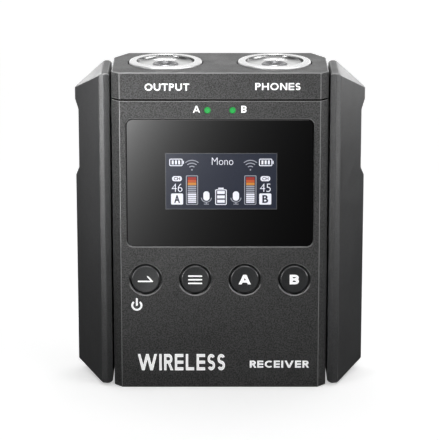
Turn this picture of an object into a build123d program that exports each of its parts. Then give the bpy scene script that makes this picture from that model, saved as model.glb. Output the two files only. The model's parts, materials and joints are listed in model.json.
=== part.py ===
from build123d import *
import math
import os

# Bodypack wireless audio receiver: two locking 3.5 mm sockets on top, a small display, four keys,
# and two antenna wings that fold flat along the sides. Millimetres; X right, Y back, Z up.
# The origin is the centre of the base, and the front faces -Y.

# Driving dimensions of the case
WIDTH = 55.5
DEPTH = 26.0
HEIGHT = 84.3
CAP_HEIGHT = 7.2
SEAM = 0.4
WALL = 1.6
PANEL = 2.0
PARTING_Y = 3.5
FRONT_CHAMFER = (2.05, 2.2)
BACK_CHAMFER = (3.6, 6.2)

HALF_W = WIDTH / 2
FRONT_Y = -DEPTH / 2
BACK_Y = DEPTH / 2
SEAM_Z = HEIGHT - CAP_HEIGHT
PANEL_BACK = FRONT_Y + PANEL
REAR_INNER = BACK_Y - PANEL
REAR_FACE = PARTING_Y + 0.15
EDGE = 0.4
CORNER_R = 0.5
SEAM_EDGE = 0.18

# Side ribs that the folded antennas rest against
RIB_PROUD = 0.3
RIB_TOP = 80.5

# Display
WINDOW = (47.9, 33.6, 0.9)
WINDOW_Z = 55.25
WINDOW_R = 1.5
WINDOW_SET_BACK = 0.06
WINDOW_MOUTH = 0.16
MODULE = (34.0, 22.6, 1.4)
MODULE_Z = 55.8
GLUE = 0.1

# Keys
KEY_Z = 29.5
KEY_PITCH = 12.87
KEY_R = 3.75
KEY_HOLE_R = 4.15
KEY_TRAVEL = 0.4
KEY_NAMES = ("power_button", "menu_button", "channel_a_button", "channel_b_button")

# Status lights
LIGHT_X = 3.2
LIGHT_Z = 74.45
LIGHT_R = 0.87

# Sockets on the top face
JACK_X = 14.1
RING_R = 9.45
WELL_R = 9.8
WELL_Z = HEIGHT - 3.4
RING_TOP = HEIGHT + 0.6
RING_EDGE = 0.5
DISH_R = 7.5
DISH_FLOOR_Z = HEIGHT - 1.9
BORE_R = 1.8
NOSE_R = 3.35
JACK_NAMES = {-1: "output_jack", 1: "phones_jack"}

# Circuit board and battery
BOARD_Y = (-7.6, -6.4)
BOARD_HALF_W = 23.0
BOARD_Z = (10.0, 66.0)
POST_X = 21.3
POST_ROWS = (12.5, 61.5)
CELL = (34.0, 10.0, 50.0)
CELL_Y = -2.4
CELL_Z = 9.5

# Case screws
SCREW_X = 20.3
SCREW_LOW_Z = 5.2
SCREW_HIGH_Z = 71.6
BOSS_R = 2.1
PILOT_R = 1.0
SHANK_R = 0.97
HEAD_R = 1.9
HEAD_T = 1.2

# Antenna wings
WING_IN = 28.2
NOSE_OUT = 30.95
WING_OUT = 38.0
WING_POINT = WING_OUT + 0.4
WING_FRONT = FRONT_Y + 1.2
WING_BACK = BACK_Y - 7.5
WING_LOW = 0.6
WING_TOP = 83.85
WING_WALL = 1.2
WING_NOSE_R = 0.45
WING_BACK_R = 0.8
WING_EDGE_R = 0.42
WING_TIP_R = 1.3
WING_SHOULDER_R = 1.4
WING_FLAT_X = 30.2
WING_SLOPE = 0.9
WING_FOOT_RISE = 1.9
SCOOP_Z = (54.05, 73.0)
SCOOP_DEPTH = 1.0
SCOOP_HALF_RAMP = 1.6
SCOOP_R = 1.0
COVER_T = 1.0
HINGE_Y = (WING_FRONT + WING_BACK) / 2
HINGE_Z = 71.8
HINGE_R = 2.0
HINGE_GAP = 0.05
SIDES = {-1: "left", 1: "right"}

# Belt clip on the back
CLIP_W = 18.0
CLIP_T = 1.0
CLIP_TOP = 74.0
CLIP_LOW = 20.0
CLIP_GAP = 5.4
CLIP_SCREW_X = 5.0
CLIP_SCREW_Z = 66.5


def block(x, y, z):
    """A box from three (low, high) pairs."""
    size = [high - low for low, high in (x, y, z)]
    middle = [(high + low) / 2 for low, high in (x, y, z)]
    return Pos(*middle) * Box(*size)


def rod_x(radius, x, y, z):
    """A cylinder along X between two x values."""
    return Pos(sum(x) / 2, y, z) * Rot(0, 90, 0) * Cylinder(radius, x[1] - x[0])


def rod_y(radius, x, y, z):
    """A cylinder along Y between two y values."""
    return Pos(x, sum(y) / 2, z) * Rot(90, 0, 0) * Cylinder(radius, y[1] - y[0])


def rod_z(radius, x, y, z):
    """A cylinder along Z between two z values."""
    return Pos(x, y, sum(z) / 2) * Cylinder(radius, z[1] - z[0])


def panel_plate(width, height, radius, y, z):
    """A rounded plate parallel to the front face, between two y values, centred at height z."""
    outline = Plane.XZ.offset(-y[1]) * (Pos(0, z) * RectangleRounded(width, height, radius))
    return extrude(outline, y[1] - y[0])


def write(node, shape):
    shape.label = node
    export_step(shape, f"parts/{node}.step")


def case_outline(inset=0.0):
    """The case's cross-section: small chamfers in front and long ones behind."""
    fx, fy = FRONT_CHAMFER
    bx, by = BACK_CHAMFER
    right = [
        (HALF_W - fx, FRONT_Y),
        (HALF_W, FRONT_Y + fy),
        (HALF_W, BACK_Y - by),
        (HALF_W - bx, BACK_Y),
    ]
    left = [(-x, y) for x, y in reversed(right)]
    outline = make_face(Polyline(*right, *left, close=True))
    if inset:
        return offset(outline, -inset, kind=Kind.INTERSECTION)
    return fillet(outline.vertices(), CORNER_R)


def case_block(z, inset=0.0):
    return extrude(Pos(0, 0, z[0]) * case_outline(inset), z[1] - z[0])


def softened(shape, z, radius=EDGE):
    """Rounds the outer edges that lie at height z."""
    return fillet(shape.edges().filter_by(lambda e: abs(e.center().Z - z) < 1e-4), radius)


def ribs(z):
    """Low rails on both sides, just behind the parting line."""
    y = (REAR_FACE, BACK_Y - BACK_CHAMFER[1])
    rails = [
        block(sorted((side * (HALF_W - 0.5), side * (HALF_W + RIB_PROUD))), y, z) for side in SIDES
    ]
    return rails[0] + rails[1]


def shell_sleeve():
    """The closed-bottom sleeve that the front and rear shells are cut from."""
    top = SEAM_Z - SEAM / 2
    outer = softened(softened(case_block((0, top)), 0), top, SEAM_EDGE)
    hollow = case_block((WALL, top + 1), WALL)
    hollow &= block((-HALF_W, HALF_W), (PANEL_BACK, REAR_INNER), (0, HEIGHT))
    return outer - hollow


def screw_places():
    return [(side * SCREW_X, z) for side in SIDES for z in (SCREW_LOW_Z, SCREW_HIGH_Z)]


def key_places():
    return [((index - 1.5) * KEY_PITCH, KEY_Z) for index in range(4)]


def board_posts():
    return [(side * POST_X, z) for side in SIDES for z in POST_ROWS]


def usb_slot(y, z, grow=0.0):
    """The flat oval of a USB-C mouth, along Z."""
    outline = Pos(0, y, z[0]) * SlotOverall(8.94 + grow, 3.26 + grow)
    return extrude(outline, z[1] - z[0])


USB_Y = BOARD_Y[1] + 1.75


def front_shell():
    """Front panel and half of the sides, with the window recess and the key and light holes."""
    shell = shell_sleeve() & block((-40, 40), (FRONT_Y, PARTING_Y), (0, HEIGHT))
    for x, z in screw_places():
        shell += rod_y(BOSS_R, x, (PANEL_BACK - 0.2, PARTING_Y), z)
        shell -= rod_y(PILOT_R, x, (-4, PARTING_Y + 1), z)
    for x, z in board_posts():
        shell += rod_y(1.7, x, (PANEL_BACK - 0.2, BOARD_Y[0]), z)
        shell -= rod_y(0.7, x, (BOARD_Y[0] - 2.5, BOARD_Y[0]), z)
    width, height, thick = WINDOW
    lip = 0.12
    recess = panel_plate(
        width + 2 * lip, height + 2 * lip, WINDOW_R + lip, (FRONT_Y, FRONT_Y + thick + GLUE), WINDOW_Z
    )
    opening = panel_plate(
        MODULE[0] + 0.6, MODULE[1] + 0.6, 0.8, (FRONT_Y, PANEL_BACK + 0.1), MODULE_Z
    )
    mouth_y = (FRONT_Y - WINDOW_MOUTH, FRONT_Y + WINDOW_MOUTH)
    grow = 2 * (lip + WINDOW_MOUTH)
    mouth = panel_plate(width + grow, height + grow, WINDOW_R + lip + WINDOW_MOUTH, mouth_y, WINDOW_Z)
    shell -= recess + opening + chamfer(mouth.faces().sort_by(Axis.Y)[-1].edges(), WINDOW_MOUTH * 0.98)
    for x, z in key_places():
        shell -= rod_y(KEY_HOLE_R, x, (FRONT_Y - 1, PANEL_BACK + 1), z)
        shell -= Pos(x, FRONT_Y + 0.1, z) * Rot(-90, 0, 0) * Cone(KEY_HOLE_R + 0.35, KEY_HOLE_R, 0.35)
    for side in SIDES:
        shell -= rod_y(LIGHT_R + 0.05, side * LIGHT_X, (FRONT_Y - 1, PANEL_BACK + 1), LIGHT_Z)
        wall = sorted((side * (HALF_W - WALL - 1), side * (HALF_W + 1)))
        shell -= rod_x(HINGE_R + HINGE_GAP, wall, HINGE_Y, HINGE_Z)
    return shell - usb_slot(USB_Y, (-1, WALL + 1), 0.5)


def rear_shell():
    """Back panel with the side rails, screw sleeves and belt-clip holes."""
    shell = shell_sleeve() + ribs((0.8, SEAM_Z - SEAM / 2))
    shell &= block((-40, 40), (REAR_FACE, BACK_Y), (0, HEIGHT))
    for x, z in screw_places():
        start = REAR_FACE if z == SCREW_LOW_Z else TAB_Y[1] + 0.05
        shell += rod_y(BOSS_R, x, (start, REAR_INNER + 0.2), z)
        shell -= rod_y(PILOT_R + 0.15, x, (start - 1, BACK_Y + 1), z)
        shell -= rod_y(HEAD_R + 0.15, x, (BACK_Y - HEAD_T - 0.3, BACK_Y + 1), z)
    for side in SIDES:
        shell -= rod_y(PILOT_R + 0.15, side * CLIP_SCREW_X, (REAR_INNER - 1, BACK_Y + 1), CLIP_SCREW_Z)
    return shell


TONGUE_Z = (75.8, SEAM_Z + SEAM / 2)
TONGUE_OUT = WALL + 0.1
TONGUE_IN = 3.0
TAB_Y = (REAR_FACE, 5.2)


def top_cap():
    """Top cover with two round wells, and a tongue and two screw tabs that reach into the case."""
    low = SEAM_Z + SEAM / 2
    cap = softened(softened(case_block((low, HEIGHT)), HEIGHT), low, SEAM_EDGE)
    cap += ribs((low - SEAM + 0.05, RIB_TOP))
    cap -= case_block((low - 1, WELL_Z - WALL), TONGUE_IN)
    cap -= block((-3.2, 3.2), (-9, 9), (low - 1, HEIGHT - PANEL))
    rim_y = (PANEL_BACK + 0.1, REAR_INNER - 0.1)
    tongue = case_block(TONGUE_Z, TONGUE_OUT) - case_block((TONGUE_Z[0] - 1, low + 1), TONGUE_IN)
    cap += tongue & block((-HALF_W, HALF_W), rim_y, TONGUE_Z)
    for side in SIDES:
        tab_x = sorted((side * (SCREW_X - BOSS_R), side * (HALF_W - TONGUE_OUT)))
        cap += block(tab_x, TAB_Y, (SCREW_HIGH_Z - BOSS_R, low + 0.2))
        cap -= rod_y(PILOT_R + 0.15, side * SCREW_X, (TAB_Y[0] - 1, TAB_Y[1] + 1), SCREW_HIGH_Z)
        cap -= rod_z(WELL_R, side * JACK_X, 0, (WELL_Z, HEIGHT + 1))
        cap -= rod_z(NOSE_R + 0.1, side * JACK_X, 0, (low, HEIGHT))
    return cap


SOCKET_Z = (64.8, 76.8)


def jack_ring(side):
    """Bright trim ring: a flat rim with a rounded edge, and a bowl that guides a plug to the nose."""
    foot = NOSE_R + 0.02
    bowl_top = RING_TOP - 0.1
    lean = math.sqrt(0.5)
    halfway = (foot + lean * (DISH_R - foot), bowl_top - lean * (bowl_top - DISH_FLOOR_Z))
    bowl = Spline((foot, DISH_FLOOR_Z), halfway, (DISH_R, bowl_top), tangents=((1, 0), (0, 1)))
    rest = Polyline(
        (DISH_R, bowl_top),
        (DISH_R + 0.1, RING_TOP),
        (RING_R, RING_TOP),
        (RING_R, WELL_Z),
        (foot, WELL_Z),
        (foot, DISH_FLOOR_Z),
    )
    face = make_face([Plane.XZ * bowl, Plane.XZ * rest])
    rim = face.vertices().filter_by(lambda v: v.X > RING_R - 0.1 and v.Z > RING_TOP - 0.1)
    return Pos(side * JACK_X, 0, 0) * revolve(fillet(rim, RING_EDGE), Axis.Z)


def jack_nose(side):
    """Threaded bush: its grooves stand in for the locking thread, and a hex flange holds it below."""
    top = HEIGHT - 0.1
    foot = SOCKET_Z[1]
    bush = rod_z(NOSE_R, 0, 0, (foot, top)) + extrude(Pos(0, 0, foot) * RegularPolygon(4.6, 6), 2.4)
    bush = chamfer(bush.edges().group_by(Axis.Z)[-1], 0.3)
    for turn in range(2):
        z = top - 0.85 - 0.7 * turn
        groove = rod_z(NOSE_R + 1, 0, 0, (z, z + 0.3)) - rod_z(NOSE_R - 0.22, 0, 0, (z, z + 0.3))
        bush -= groove
    bush -= rod_z(BORE_R, 0, 0, (70, HEIGHT))
    bush -= Pos(0, 0, top - 0.3) * Cone(BORE_R, BORE_R + 0.65, 0.6)
    return Pos(side * JACK_X, 0, 0) * bush


def jack_socket(side):
    """Moulded socket body under the bush, with the contact chamber."""
    body = block((-4, 4), (-3.6, 3.6), SOCKET_Z)
    body = chamfer(body.edges().filter_by(Axis.Z), 0.6)
    body -= rod_z(BORE_R, 0, 0, (SOCKET_Z[0] + 1.5, SOCKET_Z[1] + 1))
    body -= block((-0.9, 0.9), (1.2, 2.9), (SOCKET_Z[0] - 1, SOCKET_Z[1] - 2))
    return Pos(side * JACK_X, 0, 0) * body


def jack_contact(side):
    """Sprung contact strip in the chamber, with its tail out of the bottom."""
    strip = block((-0.7, 0.7), (2.2, 2.5), (SOCKET_Z[0] - 1.5, SOCKET_Z[1] - 3))
    tip = block((-0.7, 0.7), (BORE_R + 0.05, 2.3), (SOCKET_Z[0] + 5, SOCKET_Z[0] + 5.5))
    return Pos(side * JACK_X, 0, 0) * (strip + tip)


def display_window():
    width, height, thick = WINDOW
    glass = panel_plate(width, height, WINDOW_R, (FRONT_Y + WINDOW_SET_BACK, FRONT_Y + thick), WINDOW_Z)
    return chamfer(glass.faces().sort_by(Axis.Y)[0].edges(), 0.12)


def window_adhesive():
    width, height, thick = WINDOW
    y = (FRONT_Y + thick, FRONT_Y + thick + GLUE)
    sheet = panel_plate(width - 1, height - 1, 1.0, y, WINDOW_Z)
    hole = panel_plate(MODULE[0] + 1.2, MODULE[1] + 1.2, 0.8, (y[0] - 1, y[1] + 1), MODULE_Z)
    return sheet - hole


MODULE_Y = (FRONT_Y + WINDOW[2], FRONT_Y + WINDOW[2] + MODULE[2])


def display_module():
    return panel_plate(MODULE[0], MODULE[1], 0.4, MODULE_Y, MODULE_Z)


def display_frame():
    """Carrier that holds the display against the window from behind."""
    y = (MODULE_Y[1] + 0.4, MODULE_Y[1] + 1.4)
    plate = panel_plate(38.4, 27.4, 1.0, y, MODULE_Z)
    plate -= panel_plate(28, 8, 1.0, (y[0] - 1, y[1] + 1), MODULE_Z + 4)
    for side in SIDES:
        pad_x = sorted((side * 14.0, side * 16.5))
        plate += block(pad_x, (MODULE_Y[1], y[1]), (MODULE_Z - 9, MODULE_Z + 9))
    return plate


def display_flex():
    """Flat ribbon from the foot of the display round to the board."""
    path = [
        (MODULE_Y[1], MODULE_Z - MODULE[1] / 2 + 2.5),
        (MODULE_Y[1], MODULE_Z - 15.2),
        (BOARD_Y[0], MODULE_Z - 15.2),
        (BOARD_Y[0], MODULE_Z - 9.5),
        (BOARD_Y[0] - 0.2, MODULE_Z - 9.5),
        (BOARD_Y[0] - 0.2, MODULE_Z - 15.0),
        (MODULE_Y[1] + 0.2, MODULE_Z - 15.0),
        (MODULE_Y[1] + 0.2, MODULE_Z - MODULE[1] / 2 + 2.5),
    ]
    outline = make_face(Plane.YZ * Polyline(*path, close=True))
    return extrude(outline, 5, both=True)


FLANGE_Y = (PANEL_BACK + 0.1, PANEL_BACK + 0.8)
DOME_T = 0.25


def key_cap(x, z):
    """Round key with a slightly dished face, a rounded rim, a flange behind the panel and a stem."""
    front = FRONT_Y - 0.05
    dish = 0.1
    edge = 0.45
    lean = edge * math.sqrt(0.5)
    rim = KEY_R - edge
    stem_end = BOARD_Y[0] - DOME_T - KEY_TRAVEL - 0.05
    face = ThreePointArc((0, front + dish), (rim / 2, front + dish * 0.75), (rim, front))
    corner = ThreePointArc((rim, front), (rim + lean, front + edge - lean), (KEY_R, front + edge))
    rest = Polyline(
        (KEY_R, front + edge),
        (KEY_R, FLANGE_Y[0]),
        (KEY_R + 0.75, FLANGE_Y[0]),
        (KEY_R + 0.75, FLANGE_Y[1]),
        (1.1, FLANGE_Y[1]),
        (1.1, stem_end),
        (0, stem_end),
        (0, front + dish),
    )
    half = make_face([face, corner, rest])
    return Pos(x, 0, z) * revolve(half, Axis.Y)


RETAINER_Y = (FLANGE_Y[1] + KEY_TRAVEL + 0.1, BOARD_Y[0] - 0.7)


def keypad_retainer():
    """Plate behind the keys that stops them falling in, on feet that stand on the panel."""
    plate = block((-24.6, 24.6), RETAINER_Y, (KEY_Z - 6.2, KEY_Z + 4.6))
    for x, z in key_places():
        plate -= rod_y(1.6, x, (RETAINER_Y[0] - 1, RETAINER_Y[1] + 1), z)
    for gap in (-1, 0, 1):
        foot_x = gap * KEY_PITCH
        plate += block(
            (foot_x - 0.8, foot_x + 0.8), (PANEL_BACK, RETAINER_Y[1]), (KEY_Z - 6.2, KEY_Z + 4.6)
        )
    return plate


def dome_contacts():
    """Four snap domes on the board, one under each key."""
    domes = [rod_y(2.2, x, (BOARD_Y[0] - DOME_T, BOARD_Y[0]), z) for x, z in key_places()]
    domes = [chamfer(dome.edges().group_by(Axis.Y)[0], 0.15) for dome in domes]
    return Compound(children=domes)


def light_pipe(side):
    pipe = rod_y(LIGHT_R, side * LIGHT_X, (FRONT_Y - 0.05, -8.5), LIGHT_Z)
    pipe = fillet(pipe.edges().group_by(Axis.Y)[0], 0.2)
    return pipe + rod_y(LIGHT_R + 0.5, side * LIGHT_X, (PANEL_BACK, PANEL_BACK + 0.5), LIGHT_Z)


def status_leds():
    led_z = (LIGHT_Z - 0.4, LIGHT_Z + 0.4)
    chips = [
        block((side * LIGHT_X - 0.8, side * LIGHT_X + 0.8), (BOARD_Y[0] - 0.6, BOARD_Y[0]), led_z)
        for side in SIDES
    ]
    return Compound(children=chips)


def main_board():
    """Circuit board with a neck for the lights above and one for the charging port below."""
    low, high = BOARD_Z
    board = block((-BOARD_HALF_W, BOARD_HALF_W), BOARD_Y, (low, high))
    board += block((-9, 9), BOARD_Y, (high, 75.6))
    board += block((-8, 8), BOARD_Y, (2.4, low))
    for x, z in board_posts():
        board -= rod_y(0.8, x, (BOARD_Y[0] - 1, BOARD_Y[1] + 1), z)
    return board


def board_screws():
    screws = []
    for x, z in board_posts():
        screw = rod_y(0.68, x, (BOARD_Y[0] - 2.2, BOARD_Y[1]), z)
        screw += rod_y(1.35, x, (BOARD_Y[1], BOARD_Y[1] + 0.8), z)
        screw -= block((x - 0.9, x + 0.9), (BOARD_Y[1] + 0.45, BOARD_Y[1] + 1), (z - 0.15, z + 0.15))
        screw -= block((x - 0.15, x + 0.15), (BOARD_Y[1] + 0.45, BOARD_Y[1] + 1), (z - 0.9, z + 0.9))
        screws.append(screw)
    return Compound(children=screws)


def rf_shields():
    """Two stamped cans over the radio circuits, one for each channel."""
    cans = []
    for side in SIDES:
        x = sorted((side * 2.5, side * 18.5))
        can = block(x, (BOARD_Y[1], BOARD_Y[1] + 1.8), (45, 64))
        can = chamfer(can.faces().sort_by(Axis.Y)[-1].edges(), 0.3)
        inner = block((x[0] + 0.25, x[1] - 0.25), (BOARD_Y[1] - 1, BOARD_Y[1] + 1.5), (45.25, 63.75))
        cans.append(can - inner)
    return Compound(children=cans)


CHIPS = {(-10, 30): (9, 9), (6, 34): (7, 7), (8, 20): (6, 4), (-6, 17): (5, 5), (17, 28): (4, 6)}


def board_chips():
    """Processor, memory, codec and power chips."""
    chips = []
    for (x, z), (width, height) in CHIPS.items():
        half_w, half_h = width / 2, height / 2
        chips.append(
            block((x - half_w, x + half_w), (BOARD_Y[1], BOARD_Y[1] + 0.9), (z - half_h, z + half_h))
        )
    return Compound(children=chips)


def battery_connector():
    y = (BOARD_Y[1], BOARD_Y[1] + 1.6)
    return block((17.0, 22.0), y, (38.5, 42.0)) - block((17.5, 21.5), (y[0] + 0.4, y[1] + 1), (39, 41.5))


def usb_port():
    """USB-C receptacle: a drawn steel mouth around a contact tongue."""
    z = (0.5, 8.0)
    mouth = usb_slot(USB_Y, z) - usb_slot(USB_Y, (z[0] - 1, z[1] - 0.6), -0.7)
    return mouth + block((-3.2, 3.2), (USB_Y - 0.35, USB_Y + 0.35), (z[0] + 0.8, z[1] - 0.3))


def battery_tray():
    """Insulating tray that carries the battery clear of the board."""
    y = (-4.3, CELL_Y)
    tray = block((-19, 19), y, (CELL_Z - 1, CELL_Z + CELL[2] + 1))
    return tray - block((-17.2, 17.2), (y[0] + 0.8, y[1] + 1), (CELL_Z - 0.2, CELL_Z + CELL[2] + 0.2))


def battery_cell():
    y = (-3.45, -3.45 + CELL[1])
    cell = block((-CELL[0] / 2, CELL[0] / 2), y, (CELL_Z, CELL_Z + CELL[2]))
    return fillet(cell.edges().filter_by(Axis.Z), 3.0)


def battery_pad():
    """Foam pad that the rear shell presses on the battery."""
    return block((-13, 13), (-3.45 + CELL[1], REAR_INNER), (CELL_Z + 6, CELL_Z + 40))


def screw_along_y(x, z, head_y, length):
    """Cross-head machine screw driven from behind."""
    screw = rod_y(HEAD_R, x, (head_y, head_y + HEAD_T), z)
    screw = chamfer(screw.edges().group_by(Axis.Y)[-1], 0.25)
    screw += rod_y(SHANK_R, x, (head_y - length, head_y), z)
    for width, height in ((1.1, 0.2), (0.2, 1.1)):
        screw -= block(
            (x - width, x + width), (head_y + HEAD_T - 0.6, head_y + HEAD_T + 1), (z - height, z + height)
        )
    return screw


def case_screws():
    head_y = BACK_Y - HEAD_T - 0.3
    return Compound(children=[screw_along_y(x, z, head_y, 14.5) for x, z in screw_places()])


def clip_screws():
    head_y = BACK_Y + CLIP_T
    places = [(side * CLIP_SCREW_X, CLIP_SCREW_Z) for side in SIDES]
    return Compound(children=[screw_along_y(x, z, head_y, 4.2) for x, z in places])


def clip_nut_plate():
    """Threaded steel plate inside the rear shell that the clip screws pull on."""
    plate = block((-9, 9), (REAR_INNER - 1.2, REAR_INNER), (CLIP_SCREW_Z - 3.5, CLIP_SCREW_Z + 3.5))
    for side in SIDES:
        plate -= rod_y(PILOT_R, side * CLIP_SCREW_X, (REAR_INNER - 3, BACK_Y), CLIP_SCREW_Z)
    return plate


def belt_clip():
    """Spring-steel strap: a foot screwed to the back, a bend over the top and a long tongue."""
    inner = BACK_Y + CLIP_GAP
    outer = inner + CLIP_T
    bend = 1.1
    lip = 0.7
    side_view = [
        (BACK_Y, CLIP_SCREW_Z - 4),
        (BACK_Y, CLIP_TOP),
        (outer, CLIP_TOP),
        (outer, CLIP_LOW + 4),
        (outer - bend, CLIP_LOW + 2),
        (outer + lip, CLIP_LOW),
        (outer + lip - CLIP_T, CLIP_LOW),
        (outer - bend - CLIP_T, CLIP_LOW + 2),
        (inner, CLIP_LOW + 4.6),
        (inner, CLIP_TOP - CLIP_T),
        (BACK_Y + CLIP_T, CLIP_TOP - CLIP_T),
        (BACK_Y + CLIP_T, CLIP_SCREW_Z - 4),
    ]
    strap = extrude(make_face(Plane.YZ * Polyline(*side_view, close=True)), CLIP_W / 2, both=True)
    top = strap.edges().filter_by(Axis.X).group_by(Axis.Z)[-1]
    strap = fillet(top, 1.0 * CLIP_T - 0.05)
    for side in SIDES:
        strap -= rod_y(PILOT_R + 0.15, side * CLIP_SCREW_X, (BACK_Y - 1, BACK_Y + 2), CLIP_SCREW_Z)
        access = (inner - 1, outer + 3)
        strap -= rod_y(HEAD_R + 0.5, side * CLIP_SCREW_X, access, CLIP_SCREW_Z)
    return strap


def wing_outline(inset=0.0):
    """Section of the right wing: a narrow two-facet nose and a flat face that slants outwards."""
    points = [
        (WING_IN, WING_FRONT + 0.9),
        ((WING_IN + NOSE_OUT) / 2, WING_FRONT),
        (NOSE_OUT, WING_FRONT + 0.5),
        (WING_POINT, WING_BACK),
        (WING_IN, WING_BACK),
    ]
    outline = make_face(Polyline(*points, close=True))
    if inset:
        return offset(outline, -inset, kind=Kind.INTERSECTION)
    outline = fillet(outline.vertices().filter_by(lambda v: v.Y > 0), WING_BACK_R)
    return fillet(outline.vertices().filter_by(lambda v: v.Y < WING_FRONT + 2), WING_NOSE_R)


def wing_limits(inset=0.0):
    """Front view of the right wing: a rounded inner edge, a long shoulder and a slightly rising foot."""
    inner_x = WING_IN - 0.2 - inset
    outer_x = WING_OUT + 1
    low, top = WING_LOW + inset, WING_TOP - inset
    front_view = [
        (inner_x, low),
        (NOSE_OUT, low),
        (outer_x, low + WING_FOOT_RISE),
        (outer_x, top - WING_SLOPE * (outer_x - WING_FLAT_X)),
        (WING_FLAT_X - inset * 0.4, top),
        (inner_x, top),
    ]
    tips = [(inner_x, low), (inner_x, top)]
    return through_wing(front_view, {WING_TIP_R: tips, WING_SHOULDER_R: [front_view[1], front_view[4]]})


def through_wing(front_view, rounding):
    """A prism right through the wing from front to back, with its corners rounded radius by radius."""
    face = make_face(Plane.XZ.offset(-WING_BACK - 1) * Polyline(*front_view, close=True))
    for radius, corners in rounding.items():
        chosen = [v for v in face.vertices() if any(math.dist((v.X, v.Z), c) < 1e-3 for c in corners)]
        face = fillet(chosen, radius)
    return extrude(face, (WING_BACK - WING_FRONT) + 3, dir=(0, -1, 0))


def grip_scoop():
    """Shallow finger scoop in the outer back edge, with a ramp at each end."""
    floor_x = WING_OUT - SCOOP_DEPTH
    rim_x = WING_OUT + 0.3
    far = WING_OUT + 2
    low, high = SCOOP_Z
    front_view = [
        (far, low - SCOOP_HALF_RAMP),
        (rim_x, low - SCOOP_HALF_RAMP),
        (floor_x, low + SCOOP_HALF_RAMP),
        (floor_x, high - SCOOP_HALF_RAMP),
        (rim_x, high + SCOOP_HALF_RAMP),
        (far, high + SCOOP_HALF_RAMP),
    ]
    return through_wing(front_view, {SCOOP_R: front_view[1:5]})


def mirrored(shape, side):
    return shape if side > 0 else mirror(shape, Plane.YZ)


COVER_INSET = 1.0
HUB_R = 3.4
HUB_X = (WING_IN + COVER_T, 31.2)


def cover_plate(shrink=0.0):
    """The flat inner lid of a wing, let into the shell's rim."""
    y = (WING_FRONT + 1.8 + COVER_INSET + shrink, WING_BACK - COVER_INSET - shrink)
    z = (WING_LOW + 1.6 + shrink, WING_TOP - 2.0 - shrink)
    plate = block((WING_IN, WING_IN + COVER_T), y, z)
    return fillet(plate.edges().filter_by(Axis.X), 1.5)


def antenna_shell(side):
    """Hollow outer moulding of a wing, open towards the body, with a hub for the hinge shaft."""
    body = extrude(Pos(0, 0, -1) * wing_outline(), HEIGHT + 2) & wing_limits()
    ends = body.edges().filter_by(lambda e: e.center().Z > 74 or e.center().Z < 4)
    ends = ends.filter_by(lambda e: abs(e.tangent_at(0.5).Z) < 0.95)
    body = fillet(ends, WING_EDGE_R)
    body -= grip_scoop()
    room = extrude(Pos(0, 0, -1) * wing_outline(WING_WALL), HEIGHT + 2) & wing_limits(WING_WALL)
    room &= block((WING_IN + COVER_T, WING_OUT), (WING_FRONT, WING_BACK), (0, HEIGHT))
    room -= grip_wall()
    room -= rod_x(HUB_R, HUB_X, HINGE_Y, HINGE_Z)
    body -= room
    body -= cover_plate(-0.05)
    body -= rod_x(HINGE_R + 0.01, (WING_IN - 1, HUB_X[1]), HINGE_Y, HINGE_Z)
    return mirrored(body, side)


def grip_wall():
    """Keeps the wall whole behind the finger scoop."""
    z = (SCOOP_Z[0] - 4, SCOOP_Z[1] + 4)
    return block((WING_OUT - WING_WALL - 2.2, WING_OUT), (WING_FRONT, WING_BACK), z)


def antenna_cover(side):
    plate = cover_plate() - rod_x(HINGE_R + 0.06, (WING_IN - 1, WING_IN + 2), HINGE_Y, HINGE_Z)
    return mirrored(plate, side)


def antenna_element(side):
    """Dipole board inside a wing."""
    board = block((WING_IN + 1.3, WING_IN + 1.9), (-8.2, WING_BACK - 1.6), (5.0, 66.0))
    return mirrored(board, side)


def hinge_shaft(side):
    """Steel shaft fixed in the wing's hub; it turns in the case wall and carries the signal."""
    shaft = rod_x(HINGE_R, (HALF_W - WALL - 2.4, HUB_X[1]), HINGE_Y, HINGE_Z)
    shaft -= rod_x(HINGE_R + 1, (HALF_W - WALL - 1.6, HALF_W - WALL - 1.0), HINGE_Y, HINGE_Z) - rod_x(
        HINGE_R - 0.45, (HALF_W - WALL - 1.6, HALF_W - WALL - 1.0), HINGE_Y, HINGE_Z
    )
    return mirrored(shaft, side)


def hinge_clip(side):
    """Retaining ring in the shaft's groove, inside the case."""
    x = (HALF_W - WALL - 1.55, HALF_W - WALL - 1.05)
    ring = rod_x(3.2, x, HINGE_Y, HINGE_Z) - rod_x(HINGE_R - 0.43, x, HINGE_Y, HINGE_Z)
    ring -= block(x, (HINGE_Y - 1.2, HINGE_Y + 1.2), (HINGE_Z - 5, HINGE_Z - 1))
    return mirrored(ring, side)


def friction_washer(side):
    """Spring washer between the retaining ring and the case wall; it holds the wing where it is put."""
    x = (HALF_W - WALL - 0.95, HALF_W - WALL - 0.05)
    washer = rod_x(3.1, x, HINGE_Y, HINGE_Z) - rod_x(HINGE_R + 0.1, x, HINGE_Y, HINGE_Z)
    return mirrored(washer, side)


def feed_spring(side):
    """Contact finger from the board to the end of the hinge shaft."""
    reach = HALF_W - WALL - 2.5
    tip_z = (HINGE_Z - 1.0, HINGE_Z + 1.0)
    finger = block((reach - 0.25, reach), (BOARD_Y[1], HINGE_Y + 1.0), tip_z)
    finger += block((reach - 0.25, reach), (BOARD_Y[1] + 0.6, BOARD_Y[1] + 0.9), (62.5, tip_z[1]))
    foot = block((reach - 3.0, reach), (BOARD_Y[1], BOARD_Y[1] + 0.9), (64.2, 65.8))
    return mirrored(finger + foot, side)


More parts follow.
